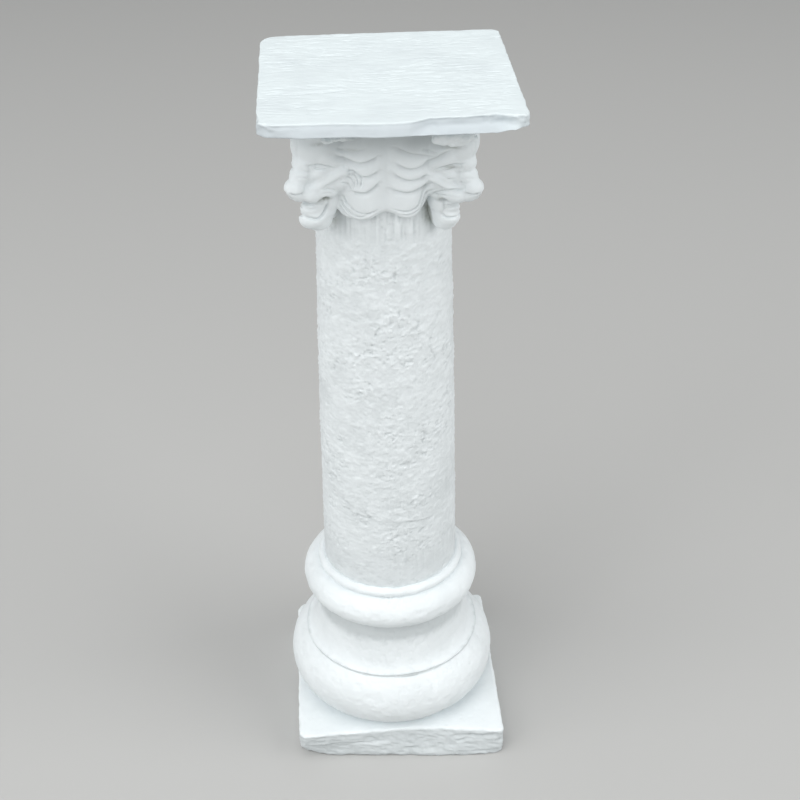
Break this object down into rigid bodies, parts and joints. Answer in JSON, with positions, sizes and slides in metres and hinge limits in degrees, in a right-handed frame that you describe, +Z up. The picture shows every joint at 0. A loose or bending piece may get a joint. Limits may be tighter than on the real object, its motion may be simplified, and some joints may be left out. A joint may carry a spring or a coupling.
{
  "type": "pedestal column with lion-head capital",
  "caption": "Cast pedestal column: square plinth, round base mouldings, tapered shaft, lion-head capital and a thin square slab on top.",
  "frame": {"origin": "on the ground, under the middle of the object's box", "axes": "+Z up along the shaft, +Y towards the back, +X to the right as seen from the front"},
  "size_m": [0.284, 0.2901, 0.915],
  "materials": {
    "casting_paint": "matt white masonry paint over rough cast plaster",
    "slab_paint": "matt white masonry paint, brushed along the slab"
  },
  "bodies": {
    "root": {"column": "casting_paint", "top_slab": "slab_paint"}
  },
  "joints": []
}
